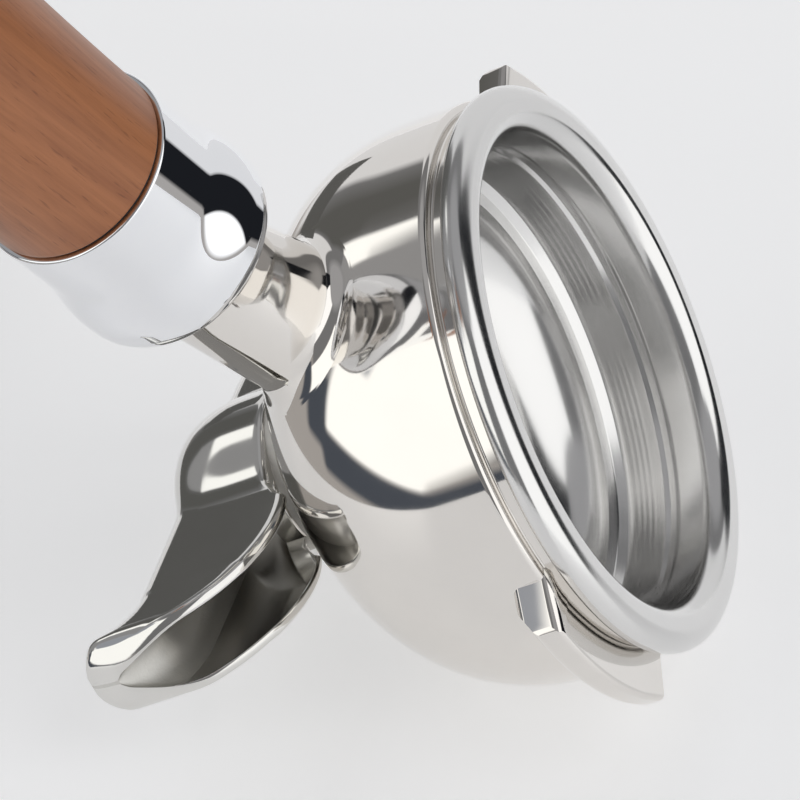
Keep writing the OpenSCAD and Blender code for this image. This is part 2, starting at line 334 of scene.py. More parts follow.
def piece(name, shape, node, materials, choose=None, crease=32.0):
    """A shown piece that stands for a CAD node, riding on that node's body.
    choose gives each face's material."""
    points, faces = shape
    mesh = bpy.data.meshes.new(name)
    mesh.from_pydata((points * MM).tolist(), [], faces)
    for material in materials:
        mesh.materials.append(material)
    if choose is not None:
        mesh.polygons.foreach_set("material_index", [int(c) for c in choose])
    mesh.polygons.foreach_set("use_smooth", [True] * len(faces))
    mesh.set_sharp_from_angle(angle=math.radians(crease))
    mesh.update()
    o = bpy.data.objects.new(name, mesh)
    bpy.context.scene.collection.objects.link(o)
    weigh = o.modifiers.new("weigh", "WEIGHTED_NORMAL")
    weigh.keep_sharp = True
    record = frame["record"]
    body = next(b for b, nodes in record["behaviour"]["bodies"].items() if node in nodes)
    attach(o, body)
    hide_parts(node)
    return o


# ---------------------------------------------------------------- filter holder


def bowl_curve(steps, r, turn, depth, n):
    """Outside of a bowl from its straight wall to the point on its axis."""
    a = np.linspace(0, math.pi / 2, steps)
    return np.stack([r * np.cos(a) ** (2 / n), -turn - (depth - turn) * np.sin(a) ** (2 / n)], axis=1)


def bowl_level(p):
    """Zero on the bowl's outside and negative within; with the gradient there."""
    r = np.hypot(p[:, 0], p[:, 1])
    rise = BOWL_DEPTH - BOWL_TURN
    d = np.clip((-p[:, 2] - BOWL_TURN) / rise, 0, None)
    level = (r / BOWL_R) ** BOWL_N + d ** BOWL_N - 1
    along = BOWL_N * r ** (BOWL_N - 2) / BOWL_R ** BOWL_N
    slope = -BOWL_N * d ** (BOWL_N - 1) / rise
    return level, np.stack([along * p[:, 0], along * p[:, 1], slope], axis=1)


def bowl_shell():
    """Turned body of the casting, with its bore, spring groove, drain floor and boss."""
    outer = [tuple(p) for p in bowl_curve(96, BOWL_R, BOWL_TURN, BOWL_DEPTH, BOWL_N)]
    outer = [p for p in outer if p[0] > BOSS_FOOT]
    foot = outer[-1][1]
    cavity = bowl_curve(48, BORE_R, BOWL_TURN + 4, CAVITY_DEPTH, 2)
    cavity = [tuple(p) for p in cavity if p[0] > NIPPLE_R][::-1]
    top = rounded([(BORE_R, -RIM_H - 1, 0), (BORE_R, -RIM_H, 0.25), (BAND_R, -RIM_H, 0.3),
                   (BAND_R, -SHOULDER, 0.25), (BOWL_R, -SHOULDER - 0.1, 0.9),
                   (BOWL_R, -BOWL_TURN + 0.5, 0)])
    boss = rounded([(BOSS_FOOT, foot, 0), (BOSS_R, foot - 0.2, 1.2), (BOSS_R, -BOSS_DEPTH, 0.4),
                    (NIPPLE_R, -BOSS_DEPTH, 0.2), (NIPPLE_R, -CAVITY_DEPTH, 0)])
    groove_low, groove_top = -GROOVE_Z - GROOVE_HALF, -GROOVE_Z + GROOVE_HALF
    groove = [(BORE_R, groove_low), (GROOVE_R, groove_low), (GROOVE_R, groove_top), (BORE_R, groove_top)]
    points, faces = outward(revolve(top + outer + boss[1:] + cavity + groove))
    # the skin that the neck's root covers is left out
    centre = np.array([points[f].mean(axis=0) for f in faces])
    level, _ = bowl_level(centre)
    axis_z = -HANDLE_Z + NECK_LEAN * (NECK_BEND - centre[:, 0])
    across = np.hypot(centre[:, 1], centre[:, 2] - axis_z)
    under = (np.abs(level) < 0.02) & (centre[:, 0] > 0) & (across < NECK_R + NECK_FLARE - 2.2)
    return points, [f for f, hidden in zip(faces, under) if not hidden]


def neck():
    """Round neck from its end face to a crease, then a hollow flare onto the bowl."""
    turns = 224
    a = 2 * math.pi * np.arange(turns) / turns
    out = np.stack([np.zeros(turns), np.sin(a), np.cos(a)], axis=1)
    along = np.array([1.0, 0.0, 0.0])

    def skin(x, radius=None):
        """Points of the neck's skin; it leans up a little once past the bend."""
        x = np.broadcast_to(x, (turns,))
        past = np.logaddexp(0, (NECK_BEND - x) * 2) / 2
        centre = np.stack([x, np.zeros(turns), -HANDLE_Z + NECK_LEAN * past], axis=1)
        size = NECK_R + NECK_TAPER * past if radius is None else np.full(turns, radius)
        return centre + out * size[:, None]

    low, high = np.full(turns, 18.0), np.full(turns, NECK_BEND)
    for _ in range(40):
        middle = (low + high) / 2
        inside = bowl_level(skin(middle))[0] < 0
        low, high = np.where(inside, middle, low), np.where(inside, high, middle)
    crease = skin(low + NECK_CREASE)
    # walk down the bowl's skin, away from the neck, to where the flare ends
    end = skin(low)
    steps = 40
    for _ in range(steps):
        level, gradient = bowl_level(end)
        g1 = gradient[:, :1]
        g2 = (gradient * out).sum(axis=1)[:, None]
        size = np.hypot(g1, g2)
        walk = out * (g1 / size) - along * (g2 / size)
        normal = along * (g1 / size) + out * (g2 / size)
        end = end + walk * (NECK_FLARE / steps) - normal * (level[:, None] / size)
    span = np.linalg.norm(end - crease, axis=1)[:, None]
    leave = out * math.sin(FLARE_LEAN) - along * math.cos(FLARE_LEAN)
    rings = [skin(NECK_END - 3, STUD_R + 0.2), skin(NECK_END, STUD_R + 0.2)]
    face, shoulder = NECK_END - NECK_EDGE, NECK_R - NECK_EDGE
    for t in np.linspace(0, math.pi / 2, 6):
        rings.append(skin(face + NECK_EDGE * math.cos(t), shoulder + NECK_EDGE * math.sin(t)))
    for t in np.linspace(0, 1, 13)[1:-1]:
        rings.append(skin(face + (crease[:, 0] - face) * t))
    rings.append(crease)
    flare = 14
    for k in range(1, flare + 1):
        t = k / flare
        h0, h1 = 2 * t ** 3 - 3 * t ** 2 + 1, t ** 3 - 2 * t ** 2 + t
        h2, h3 = -2 * t ** 3 + 3 * t ** 2, t ** 3 - t ** 2
        rings.append(crease * h0 + leave * span * h1 + end * h2 + walk * span * h3)
    rings.append(end + walk * 0.5 - normal * 0.06)
    return outward(loft(rings, capped=False))


def rounding(corner, n1, n2, radius):
    """Cutting planes that round off the corner where faces with normals n1 and n2 meet."""
    centre = np.array(corner) - radius * (n1 + n2) / (1 + n1 @ n2)
    cuts = []
    for share in (0.2, 0.4, 0.6, 0.8):
        away = n1 * (1 - share) + n2 * share
        away = away / np.linalg.norm(away)
        cuts.append((centre + radius * away, away))
    return cuts


def lug(side, lead):
    """Bayonet lug at +Y or -Y (side), its underside relieved at the end that leads."""
    low = -LUG_TOP - LUG_T
    profile = rounded([(LUG_ROOT, low, 0), (LUG_R - 3.4, low, 2.6), (LUG_R, low + 2.2, 1.6),
                       (LUG_R, -LUG_TOP, 0.7), (LUG_ROOT, -LUG_TOP, 0)])
    rings = []
    for a in np.linspace(-LUG_HALF_TURN, LUG_HALF_TURN, 49):
        rings.append(np.array([(r * math.sin(a), r * math.cos(a), z) for r, z in profile]))
    points, faces = loft(rings)
    bm = bmesh.new()
    verts = [bm.verts.new(p) for p in points]
    for face in faces:
        bm.faces.new([verts[v] for v in face])
    edge = LUG_R - 1.4
    relief = math.atan2(LUG_LEAD, LUG_RAMP)
    end = np.array([math.cos(LUG_SLANT), math.sin(LUG_SLANT), 0])
    out = np.array([LUG_FRONT, edge, 0]) / math.hypot(LUG_FRONT, edge)
    cuts = [((-LUG_BACK, 0, 0), (-1, 0, 0)), ((LUG_FRONT, edge, 0), end),
            *rounding((LUG_FRONT, edge, 0), end, out, 1.6),
            *rounding((LUG_FRONT, edge, -LUG_TOP), end, np.array([0, 0, 1]), 1.3),
            *rounding((LUG_FRONT, edge, low), end, np.array([0, 0, -1]), 1.3),
            ((lead * (LUG_BACK - LUG_RAMP), 0, low), (lead * math.sin(relief), 0, -math.cos(relief)))]
    for at, away in cuts:
        cut = bmesh.ops.bisect_plane(bm, geom=bm.verts[:] + bm.edges[:] + bm.faces[:], plane_co=at,
                                     plane_no=away, clear_outer=True)
        rim = [e for e in cut["geom_cut"] if isinstance(e, bmesh.types.BMEdge)]
        bmesh.ops.edgeloop_fill(bm, edges=rim)
    bmesh.ops.remove_doubles(bm, verts=bm.verts, dist=0.01)
    bmesh.ops.dissolve_degenerate(bm, edges=bm.edges, dist=0.01)
    bmesh.ops.recalc_face_normals(bm, faces=bm.faces)
    sharp = [e for e in bm.edges if e.is_manifold and e.calc_face_angle() > 0.6
             and min(v.co.xy.length for v in e.verts) > LUG_ROOT + 0.05]
    bmesh.ops.bevel(bm, geom=sharp, offset=0.75, segments=4, profile=0.5, affect="EDGES",
                    clamp_overlap=True)
    points, faces = from_bmesh(bm)
    if side < 0:
        points = points * [1, -1, 1]
        faces = [f[::-1] for f in faces]
    return points, faces


# ---------------------------------------------------------------- basket


def basket_wall():
    """Rolled rim, wall with its bead and fine ridges, ledge and dish, as one sheet."""
    ro = BASKET_R + SHEET
    rim = rounded([(BASKET_R, -LIP_DEPTH - 0.6, 0), (BASKET_R, -LIP_DEPTH, 0.3)]
                  + [(BASKET_R + LIP_W * (1 - math.cos(a)), LIP_DEPTH * (math.sin(a) - 1), 0)
                     for a in np.linspace(0.12, math.pi / 2, 14)])
    roll = [(RIM_FLAT_R + (RIM_R - RIM_FLAT_R) * math.sin(a), -RIM_MID + RIM_MID * math.cos(a))
            for a in np.linspace(0, math.pi / 2, 18)]
    under = [(RIM_R - 1.4 + 1.4 * math.cos(a), -RIM_MID - (RIM_H - RIM_MID) * math.sin(a))
             for a in np.linspace(0.1, math.pi / 2, 10)]
    outside = rounded([(ro + 0.6, -RIM_H, 0), (ro, -RIM_H, 0.4), (ro, -BEAD_DEPTH + 1, 0.5),
                       (ro + BEAD_OUT, -BEAD_DEPTH + 0.4, 0.3),
                       (ro + BEAD_OUT, -BEAD_DEPTH - 0.4, 0.3),
                       (ro, -BEAD_DEPTH - 1, 0.5), (ro, -WALL_DEPTH, 0)])
    inside = rounded([(BASKET_R, -8.6, 0), (BASKET_R, -BEAD_DEPTH - 1, 0.5),
                      (BASKET_R + BEAD_OUT, -BEAD_DEPTH - 0.4, 0.3),
                      (BASKET_R + BEAD_OUT, -BEAD_DEPTH + 0.4, 0.3),
                      (BASKET_R, -BEAD_DEPTH + 1, 0.5), (BASKET_R, -LIP_DEPTH - 1, 0)])
    ridges = [(BASKET_R + RIDGE_H * (math.cos(2 * math.pi * (z + RIDGES_LOW) / RIDGE_PITCH) - 1) / 2, z)
              for z in np.linspace(-RIDGES_LOW, -RIDGES_TOP, 33)]
    return outward(revolve(rim + roll + under + outside + dish(ro, 0.1, SHEET, SHEET / 2)
                           + dish(BASKET_R, 0, 0, 0)[::-1] + ridges + inside, 256))


def dish(r, lower, floor, wide):
    """Side of the basket from its straight wall through the ledge to the flat floor. lower,
    floor and wide push it down at the ledge, down at the floor and out at the floor."""
    ledge = -WALL_DEPTH - lower
    foot = r - SHELF_W
    shelf = rounded([(r, ledge, 0), (r - 0.1, ledge - 0.5, 0.3), (r - 1.0, ledge - 1.5, 0.8),
                     (foot, ledge - SHELF_H, 0)])
    depth = FLOOR_DEPTH + floor + ledge - SHELF_H
    reach = foot - FLOOR_R - wide
    bowl = [(foot - reach * (1 - math.cos(a)), ledge - SHELF_H - depth * math.sin(a))
            for a in np.linspace(0, math.pi / 2, 33)]
    return shelf[:-1] + bowl


def basket_floor():
    """Flat sheet with its rings of round holes."""
    sheet = bpy.data.curves.new("floor_sheet", "CURVE")
    sheet.dimensions = "2D"
    sheet.fill_mode = "BOTH"
    sheet.extrude = SHEET / 2
    holes = [(0, 0)]
    for ring in range(1, PERF_RINGS + 1):
        for k in range(6 * ring):
            a = 2 * math.pi * k / (6 * ring)
            holes.append((ring * PERF_PITCH * math.cos(a), ring * PERF_PITCH * math.sin(a)))
    circles = [(0, 0, FLOOR_R + 0.05, 128)] + [(x, y, PERF_R, 20) for x, y in holes]
    for x, y, r, n in circles:
        spline = sheet.splines.new("POLY")
        spline.points.add(n - 1)
        for k, point in enumerate(spline.points):
            a = 2 * math.pi * k / n
            point.co = (x + r * math.cos(a), y + r * math.sin(a), 0, 1)
        spline.use_cyclic_u = True
    o = bpy.data.objects.new("floor_sheet", sheet)
    bpy.context.scene.collection.objects.link(o)
    bpy.context.view_layer.update()
    mesh = bpy.data.meshes.new_from_object(o)
    points = np.array([v.co[:] for v in mesh.vertices]) + [0, 0, -FLOOR_DEPTH - SHEET / 2]
    faces = [list(p.vertices) for p in mesh.polygons]
    bpy.data.objects.remove(o)
    bpy.data.curves.remove(sheet)
    bpy.data.meshes.remove(mesh)
    return points, faces


# ---------------------------------------------------------------- spout


def arm_half(w):
    """Half the outside width of an arm at a distance w from the spout's axis."""
    return ARM_W - (ARM_W - TIP_W) * min(w / (TIP_REACH - TIP_ROUND), 1)


def tip_narrowing(w):
    """How much the plan has drawn in at a distance w, toward the rounded tip."""
    past = np.clip((w - (TIP_REACH - TIP_ROUND)) / TIP_ROUND, 0, 0.985)
    return np.sqrt(1 - past ** 2)


def tongue(z):
    """How much the tip's end, seen along the arm, has drawn in at a height z."""
    past = np.clip((-z - TIP_DEPTH + TONGUE) / TONGUE, 0, 0.96)
    return np.sqrt(1 - past ** 2)


def edge_height(w):
    """Height of the trough's edge at a distance w along the straight run."""
    line = [(0, -COLLAR_TOP), (9, -COLLAR_TOP), (12, -COLLAR_TOP + 0.5), (ROOT_W, -EDGE_C + EDGE_R - 1)]
    if w < ROOT_W:
        return float(np.interp(w, *zip(*line)))
    return -EDGE_C + math.sqrt(EDGE_R ** 2 - (w - EDGE_W) ** 2)


def outside_level(v, h, w, half, low, corner):
    """Below zero inside the arm or the domed hub, which a fillet blends; h is the height
    above the arm's underside, and w None is past the hub's reach."""
    qx = v - half + corner
    qy = low + corner - h
    arm = np.hypot(np.maximum(qx, 0), np.maximum(qy, 0)) + np.minimum(np.maximum(qx, qy), 0) - corner
    if w is None:
        return arm
    z = h - ARM_UNDER
    down = np.maximum(-z - HUB_TURN, 0) / (HUB_LOW - HUB_TURN)
    out = np.hypot(v, w) / HUB_R
    dome = HUB_R * ((out ** BOWL_N + down ** BOWL_N) ** (1 / BOWL_N) - 1)
    share = np.clip(0.5 + 0.5 * (dome - arm) / HUB_FILLET, 0, 1)
    return dome * (1 - share) + arm * share - HUB_FILLET * share * (1 - share)


def outside_curve(w, half, top, low):
    """Half of the outside of the spout's section, from under its middle to its top edge."""
    corner = min(ARM_ROUND, (top - low) * 0.45)
    waist = low + min(4.6, (top - low) * 0.5)
    angle = np.linspace(0, math.pi / 2, UNDER_POINTS)
    rise = np.linspace(waist, top, FLANK_POINTS + 1)[1:]
    start_h = np.concatenate([np.full(UNDER_POINTS, waist), rise])
    across = np.concatenate([np.sin(angle), np.ones(FLANK_POINTS)])
    down = np.concatenate([np.cos(angle), np.zeros(FLANK_POINTS)])
    near, far = np.zeros(len(across)), np.full(len(across), 20.0)
    for _ in range(36):
        t = (near + far) / 2
        inside = outside_level(across * t, start_h - down * t, w, half, low, corner) < 0
        near, far = np.where(inside, t, near), np.where(inside, far, t)
    return list(zip(across * near, start_h - down * near))


def u_section(half, inner, top, low, w=None, floor=ARM_FLOOR):
    """Half of the trough's section from the underside's middle to the floor's middle."""
    depth = max(top - floor, 0.02)
    clipped = depth < TROUGH_ROUND + 1
    first = math.asin(np.clip(1 - depth / TROUGH_ROUND, 0, 1)) if clipped else 0
    arc = []
    for k in range(1, TROUGH_POINTS + 1):
        part = k / TROUGH_POINTS if clipped else (k - 1) / (TROUGH_POINTS - 1)
        a = first + (math.pi / 2 - first) * part
        arc.append((inner - TROUGH_ROUND * (1 - math.cos(a)),
                    min(floor + TROUGH_ROUND * (1 - math.sin(a)), top), 0))
    lip = (inner - TROUGH_ROUND * (1 - math.cos(first)), top, 0.38)
    outside = outside_curve(w, half, top, low)
    edge = outside.pop()[0]
    # the outside's last points make room for the rounded top edge
    shoulder = min(0.95, (top - low) * 0.3)
    outside = [(v, min(h, top - shoulder - 0.2), 0) for v, h in outside]
    middle = (0, min(floor, top), 0)
    return rounded(outside + [(edge, top, shoulder), lip] + arc + [middle], CORNER_STEPS)


def arm_ring(section, place):
    """Whole ring of a section: place turns (across, height) into a point."""
    half = [place(v, h) for v, h in section]
    other = [place(-v, h) for v, h in section[1:-1]]
    return np.array(half + other[::-1])


def spout_rings():
    """Rings from the hub's middle out to the tip of the arm at +w."""
    rings = []
    for w in list(np.arange(0, 20, 0.5)) + list(np.linspace(20, BEND_W, 14)):
        inner = ARM_W - ARM_WALL - ARM_THINNING * w / BEND_W
        inner = max(inner, math.sqrt(max(NIPPLE_R ** 2 - w * w, 0)))
        section = u_section(arm_half(w), inner, edge_height(w) + ARM_UNDER, 0, w)
        rings.append(arm_ring(section, lambda v, h: (w, v * tip_narrowing(w), h - ARM_UNDER)))
    last = math.acos((ARM_UNDER + BEND_R - TIP_DEPTH) / BEND_R)
    for k, a in enumerate(np.linspace(0, last, BEND_RINGS + 1)[1:]):
        s, c = math.sin(a), math.cos(a)
        # where the ray out of the bend's centre meets the edge curve
        dx, dz = BEND_W - EDGE_W, EDGE_C - ARM_UNDER - BEND_R
        b = dx * s + dz * c
        reach = -b + math.sqrt(b * b - (dx * dx + dz * dz - EDGE_R ** 2))
        close = max(k - CLOSE_FROM, 0) / (BEND_RINGS - 1 - CLOSE_FROM)
        top = reach - BEND_R - 0.12 - 0.35 * close ** 2
        low = 0.3 * close ** 2
        rise = min(max(k - RISE_FROM, 0) / (RISE_TO - RISE_FROM), 1)
        floor = ARM_FLOOR + TIP_FLOOR * rise ** 2
        section = u_section(TIP_W, ARM_W - ARM_WALL - ARM_THINNING, top, low, None, floor)

        def place(v, h):
            w = BEND_W + (BEND_R + h) * s
            z = -ARM_UNDER - BEND_R + (BEND_R + h) * c
            return w, v * tip_narrowing(w) * tongue(z), z
        rings.append(arm_ring(section, place))
    return rings


def spout():
    """Both arms as one trough through the hub, closed above by the collar; with the index
    of each face's material: 0 is polished, 1 is the raw inside of the trough."""
    half = spout_rings()
    trough = loft([ring * [-1, 1, 1] for ring in half[:0:-1]] + half)
    ring_r = HUB_R - 0.15
    bore_r = NIPPLE_R - 0.05
    roof = -COLLAR_TOP - COLLAR_H
    collar = revolve(rounded([(bore_r, roof, 0), (ring_r, roof, 0.3),
                              (ring_r, -COLLAR_TOP, 0.4), (bore_r, -COLLAR_TOP, 0)]), 128)
    count = len(half[0])
    lip = UNDER_POINTS + FLANK_POINTS - 1 + 2 * (CORNER_STEPS + 1)
    inside = [lip <= i % count < count - lip for i in range(len(trough[1]) - 2)]
    points, faces = join(outward(trough), outward(collar))
    raw = inside + [False] * (len(faces) - len(inside))
    c, s = math.cos(SPOUT_TURN), math.sin(SPOUT_TURN)
    return (points @ np.array([[c, s, 0], [-s, c, 0], [0, 0, 1]]), faces), raw


# ---------------------------------------------------------------- handle


def ferrule():
    """Turned sleeve with its bead at the neck end and a thin lip at the wood."""
    far = FERRULE_END - FERRULE_X
    seat = SPIGOT_X - FERRULE_X
    face = BEAD_R - NOSE_R
    nose = [(face + NOSE_R * math.sin(a), NOSE_R * (1 - math.cos(a)))
            for a in np.linspace(0.06, math.pi / 2, 20)]
    swell = []
    for u in np.linspace(0, 1, 24):
        r = BEAD_R - (BEAD_R - SLEEVE_R) * (0.5 - 0.5 * math.cos(math.pi * u))
        swell.append((r, NOSE_R + NOSE_FLAT + (BEAD_L - NOSE_R - NOSE_FLAT) * u))
    rest = rounded([(SLEEVE_R, BEAD_L + 0.5, 0), (SLEEVE_R, far, 0.32), (SPIGOT_R + 0.05, far, 0.1),
                    (SPIGOT_R + 0.05, seat, 0), (STUD_R + 0.15, seat, 0), (STUD_R + 0.15, 0, 0),
                    (face, 0, 0)])
    profile = [(r, x + FERRULE_X) for r, x in nose + swell + rest]
    return outward(about_handle(revolve(profile, 192)))


def wood_grip():
    """Turned grip: spigot, slow swell and domed end, bored for the insert and stud."""
    length = WOOD_END - WOOD_X
    bore = [(0, STUD_END + 1), (STUD_R + 0.3, STUD_END + 1), (STUD_R + 0.3, INSERT_X[1]),
            (INSERT_R, INSERT_X[1]), (INSERT_R, INSERT_X[0]), (STUD_R + 0.3, INSERT_X[0])]
    spigot = rounded([(STUD_R + 0.3, SPIGOT_X, 0), (SPIGOT_R, SPIGOT_X, 0.4), (SPIGOT_R, WOOD_X, 0),
                      (WOOD_R, WOOD_X, 0.35), (WOOD_R, WOOD_X + 1, 0)])
    swell = []
    for u in np.linspace(0.01, 1, 70):
        r = WOOD_R + (WOOD_MAX_R - WOOD_R) * (0.5 - 0.5 * math.cos(math.pi * u ** 0.8))
        swell.append((r, WOOD_X + 1 + (length - 1 - DOME) * u))
    dome = [(WOOD_MAX_R * math.cos(a), WOOD_END - DOME + DOME * math.sin(a))
            for a in np.linspace(0.05, math.pi / 2, 26)]
    dome[-1] = (0, WOOD_END)
    return outward(about_handle(revolve(bore + spigot + swell + dome, 160)))


# ---------------------------------------------------------------- materials


class Nodes:
    """A small helper that fills a node tree."""

    def __init__(self, tree):
        self.t = tree
        self.t.nodes.clear()

    def add(self, kind, **values):
        n = self.t.nodes.new(kind)
        for k, v in values.items():
            setattr(n, k, v)
        return n

    def link(self, a, b):
        self.t.links.new(a, b)

    def math(self, operation, *values):
        """A math node; each value is a number or a socket."""
        n = self.add("ShaderNodeMath", operation=operation)
        for i, v in enumerate(values):
            if isinstance(v, (int, float)):
                n.inputs[i].default_value = v
            else:
                self.link(v, n.inputs[i])
        return n.outputs[0]

    def coords(self, scale=(1, 1, 1), turn=(0, 0, 0)):
        c = self.add("ShaderNodeTexCoord")
        m = self.add("ShaderNodeMapping")
        m.inputs["Scale"].default_value = scale
        m.inputs["Rotation"].default_value = turn
        self.link(c.outputs["Object"], m.inputs["Vector"])
        return m.outputs[0]

    def noise(self, vector, scale, detail=2.0, rough=0.5, distortion=0.0):
        n = self.add("ShaderNodeTexNoise")
        n.inputs["Scale"].default_value = scale
        n.inputs["Detail"].default_value = detail
        n.inputs["Roughness"].default_value = rough
        n.inputs["Distortion"].default_value = distortion
        self.link(vector, n.inputs["Vector"])
        return n.outputs[0]

    def ramp(self, value, stops):
        r = self.add("ShaderNodeValToRGB")
        e = r.color_ramp.elements
        while len(e) < len(stops):
            e.new(0.5)
        for x, (p, c) in zip(e, stops):
            x.position = p
            x.color = (*c, 1)
        self.link(value, r.inputs[0])
        return r.outputs[0]

    def remap(self, value, a, b, lo=0.0, hi=1.0):
        r = self.add("ShaderNodeMapRange")
        for i, v in zip((1, 2, 3, 4), (lo, hi, a, b)):
            r.inputs[i].default_value = v
        self.link(value, r.inputs[0])
        return r.outputs[0]

    def mix(self, factor, a, b, blend="MIX"):
        n = self.add("ShaderNodeMix", data_type="RGBA", blend_type=blend)
        for socket, v in zip(("Factor", "A", "B"), (factor, a, b)):
            target = next(s for s in n.inputs if s.name == socket and s.enabled)
            if isinstance(v, (int, float)):
                target.default_value = v
            elif isinstance(v, tuple):
                target.default_value = (*v, 1)
            else:
                self.link(v, target)
        return next(s for s in n.outputs if s.enabled)

    def bump(self, height, strength, distance, after=None):
        b = self.add("ShaderNodeBump")
        b.inputs["Strength"].default_value = strength
        b.inputs["Distance"].default_value = distance
        self.link(height, b.inputs["Height"])
        if after is not None:
            self.link(after, b.inputs["Normal"])
        return b.outputs[0]


class Mat(Nodes):
    """A material with a Principled shader."""

    def __init__(self, name):
        self.m = bpy.data.materials.new(name)
        self.m.use_nodes = True
        super().__init__(self.m.node_tree)
        self.out = self.add("ShaderNodeOutputMaterial")
        self.bsdf = self.add("ShaderNodeBsdfPrincipled")
        self.link(self.bsdf.outputs[0], self.out.inputs["Surface"])


def metal(name, colour, rough, spread=0.02, wave=0.0, wave_scale=60.0, grain=0.0, turned=0.0):
    """Polished metal with a slightly uneven polish. wave is a casting's waviness, grain a
    fine roughness, and turned the height of fine lines left by a lathe about Z."""
    k = Mat(name)
    v = k.coords()
    k.bsdf.inputs["Metallic"].default_value = 1.0
    smudge = k.noise(v, 90.0, 4.0, 0.6)
    tint = k.ramp(smudge, [(0.3, [c * 0.97 for c in colour]), (0.7, colour)])
    k.link(tint, k.bsdf.inputs["Base Color"])
    k.link(k.remap(smudge, rough, rough + spread, 0.35, 0.75), k.bsdf.inputs["Roughness"])
    normal = None
    if wave:
        normal = k.bump(k.noise(v, wave_scale, 1.0, 0.4), 1.0, wave)
    if grain:
        normal = k.bump(k.noise(v, 2500.0, 2.0, 0.6), 0.5, grain, normal)
    if turned:
        split = k.add("ShaderNodeSeparateXYZ")
        k.link(v, split.inputs[0])
        x, y, z = split.outputs
        radius = k.math("SQRT", k.math("ADD", k.math("MULTIPLY", x, x), k.math("MULTIPLY", y, y)))
        lines = k.add("ShaderNodeCombineXYZ")
        k.link(radius, lines.inputs[0])
        k.link(z, lines.inputs[2])
        normal = k.bump(k.noise(lines.outputs[0], 1800.0, 3.0, 0.6), 0.6, turned, normal)
    if normal is not None:
        k.link(normal, k.bsdf.inputs["Normal"])
    return k.m


def brass(name):
    k = Mat(name)
    v = k.coords()
    k.bsdf.inputs["Metallic"].default_value = 1.0
    stain = k.noise(v, 200.0, 3.0)
    tint = k.ramp(stain, [(0.3, (0.62, 0.45, 0.20)), (0.7, (0.72, 0.54, 0.26))])
    k.link(tint, k.bsdf.inputs["Base Color"])
    k.link(k.remap(stain, 0.22, 0.34), k.bsdf.inputs["Roughness"])
    return k.m


def plain(name, colour, rough):
    k = Mat(name)
    v = k.coords()
    tint = k.ramp(k.noise(v, 400.0, 3.0), [(0.3, [c * 0.8 for c in colour]), (0.7, colour)])
    k.link(tint, k.bsdf.inputs["Base Color"])
    k.bsdf.inputs["Roughness"].default_value = rough
    k.link(k.bump(k.noise(v, 3000.0, 2.0), 0.3, 0.00003), k.bsdf.inputs["Normal"])
    return k.m


def wood(name):
    """Oiled hardwood: long streaks along the grip with short dark pores."""
    k = Mat(name)
    streaks = k.noise(k.coords((1.0, 7.0, 7.0), (0.1, 0.05, 0.0)), 13.0, 4.0, 0.55, 0.8)
    fibre = k.noise(k.coords((1.0, 30.0, 30.0)), 60.0, 5.0, 0.65, 0.2)
    pores = k.noise(k.coords((1.0, 14.0, 14.0)), 260.0, 2.0, 0.5, 0.1)
    colour = k.ramp(streaks, [(0.30, (0.250, 0.084, 0.026)), (0.44, (0.365, 0.127, 0.040)),
                              (0.55, (0.415, 0.152, 0.052)), (0.72, (0.300, 0.098, 0.030))])
    for share, grain, first, dark, last in ((0.6, fibre, 0.32, (0.72, 0.66, 0.60), 0.60),
                                            (0.7, pores, 0.28, (0.55, 0.47, 0.40), 0.38)):
        shade = k.ramp(grain, [(first, dark), (last, (1, 1, 1))])
        colour = k.mix(share, colour, shade, "MULTIPLY")
    k.link(colour, k.bsdf.inputs["Base Color"])
    k.link(k.remap(fibre, 0.5, 0.38), k.bsdf.inputs["Roughness"])
    k.bsdf.inputs["Coat Weight"].default_value = 0.15
    k.bsdf.inputs["Coat Roughness"].default_value = 0.3
    k.link(k.bump(pores, 0.2, 0.00006), k.bsdf.inputs["Normal"])
    return k.m


def paint(node, material):
    """Gives a CAD node that stays in view, or inside the object, its material."""
    mesh = NODES[node].data
    mesh.materials.clear()
    mesh.materials.append(material)
    for polygon in mesh.polygons:
        polygon.use_smooth = True
    mesh.set_sharp_from_angle(angle=math.radians(32))


# ---------------------------------------------------------------- stage


def make_camera():
    """The camera at the photograph's viewing angle."""
    z = UP_AXIS
    x = (OUT_AXIS - z * OUT_AXIS.dot(z)).normalized()
    axes = Matrix((x, z.cross(x), z))
    data = bpy.data.cameras.new("camera")
    data.lens = LENS
    data.sensor_width = SENSOR
    data.clip_start = 0.05
    data.clip_end = 5.0
    camera = bpy.data.objects.new("camera", data)
    bpy.context.scene.collection.objects.link(camera)
    world = axes.to_4x4()
    world.translation = -(axes @ PLACE) * MM
    camera.matrix_world = world
    bpy.context.scene.camera = camera
    return axes.transposed()


def room_axes(camera_axes):
    """Right, up and front of the room, as the camera stands over the table."""
    right, up, back = camera_axes
    c, s = math.cos(CAMERA_PITCH), math.sin(CAMERA_PITCH)
    return right, up * c + back * s, back * c - up * s


